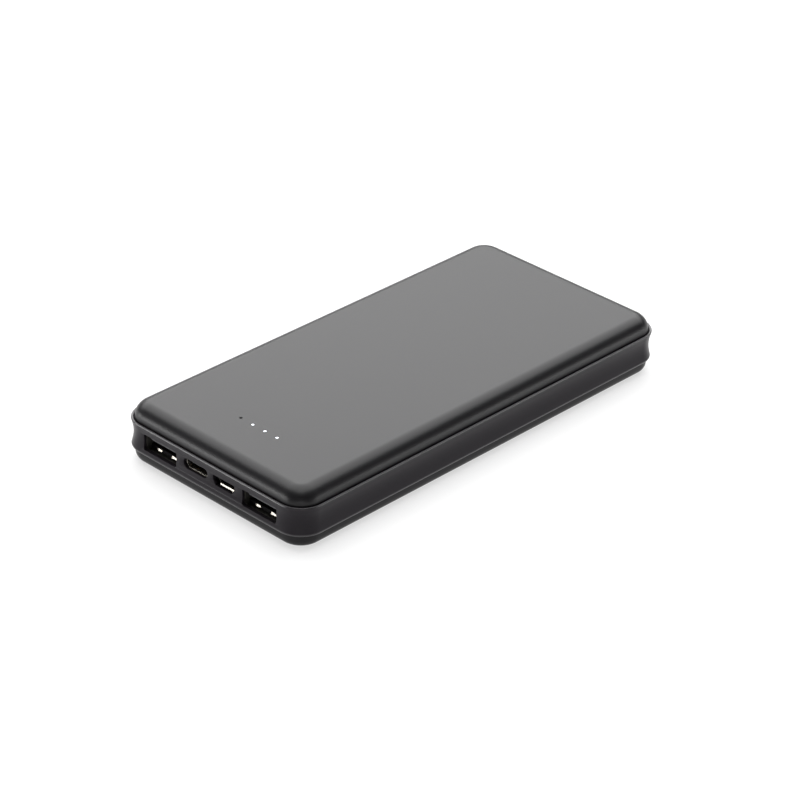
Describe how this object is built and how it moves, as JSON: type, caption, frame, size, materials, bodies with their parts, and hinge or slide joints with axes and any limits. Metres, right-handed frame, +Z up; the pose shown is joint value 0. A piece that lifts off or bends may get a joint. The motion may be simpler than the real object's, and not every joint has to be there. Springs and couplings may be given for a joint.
{
  "type": "power bank",
  "caption": "Slim rectangular power bank with rounded covers on a waisted side frame, USB sockets in one end, a light gauge and a side push button.",
  "frame": {"origin": "middle of the flat base, on the surface that the power bank lies on", "axes": "+X across the width, towards the long side without the button; +Y along the length, away from the sockets; +Z up, through the top cover"},
  "size_m": [0.069, 0.142, 0.017],
  "materials": {
    "cover": "fine matte soft-touch coat on moulded ABS",
    "frame": "satin moulded ABS",
    "button": "satin moulded ABS",
    "cell_pouch": "satin aluminium-laminate pouch",
    "polyimide": "amber polyimide tape",
    "nickel": "nickel strip",
    "foam": "closed-cell foam",
    "board": "green solder mask on glass-epoxy",
    "screw_steel": "zinc-plated steel",
    "shell_nickel": "nickel-plated drawn steel",
    "tongue_black": "black nylon",
    "contact_gold": "gold-plated brass",
    "led": "white LED package",
    "guide_clear": "clear light guide",
    "baffle_black": "black baffle",
    "plunger_black": "black nylon",
    "ferrite": "pressed ferrite",
    "tinned": "tinned copper",
    "chip_epoxy": "black epoxy",
    "ceramic_tan": "ceramic"
  },
  "bodies": {
    "case": {"top_cover": "cover", "bottom_cover": "cover", "side_frame": "frame", "battery_cell": "cell_pouch", "cell_end_tape": "polyimide", "battery_tab_positive": "nickel", "battery_tab_negative": "nickel", "cell_foam_pad_upper": "foam", "cell_adhesive_pad_lower": "foam", "cell_end_cushion": "foam", "circuit_board": "board", "board_screws": "screw_steel", "usb_a_shell_left": "shell_nickel", "usb_a_shell_right": "shell_nickel", "usb_a_tongue_left": "tongue_black", "usb_a_tongue_right": "tongue_black", "usb_a_contacts_left": "contact_gold", "usb_a_contacts_right": "contact_gold", "usb_c_shell": "shell_nickel", "usb_c_tongue": "tongue_black", "usb_c_contacts": "contact_gold", "micro_usb_shell": "shell_nickel", "micro_usb_tongue": "tongue_black", "micro_usb_contacts": "contact_gold", "indicator_leds": "led", "light_guide": "guide_clear", "light_baffle": "baffle_black", "tact_switch_body": "tongue_black", "tact_switch_cover": "shell_nickel", "inductor_core": "ferrite", "inductor_terminals": "tinned", "charge_controller": "chip_epoxy", "power_transistors": "chip_epoxy", "capacitors": "ceramic_tan", "resistors": "chip_epoxy"},
    "button": {"power_button": "button"},
    "plunger": {"tact_switch_plunger": "plunger_black"}
  },
  "joints": [
    {"name": "button_press", "type": "slide", "parent": "case", "child": "button", "axis": [1, 0, 0], "range_m": [0, 0.00035], "stiffness_N_per_m": 4500},
    {"name": "plunger_press", "type": "slide", "parent": "case", "child": "plunger", "axis": [1, 0, 0], "range_m": [0, 0.00035]}
  ],
  "couplings": [
    {"joint": "plunger_press", "follows": "button_press", "ratio": 1}
  ]
}
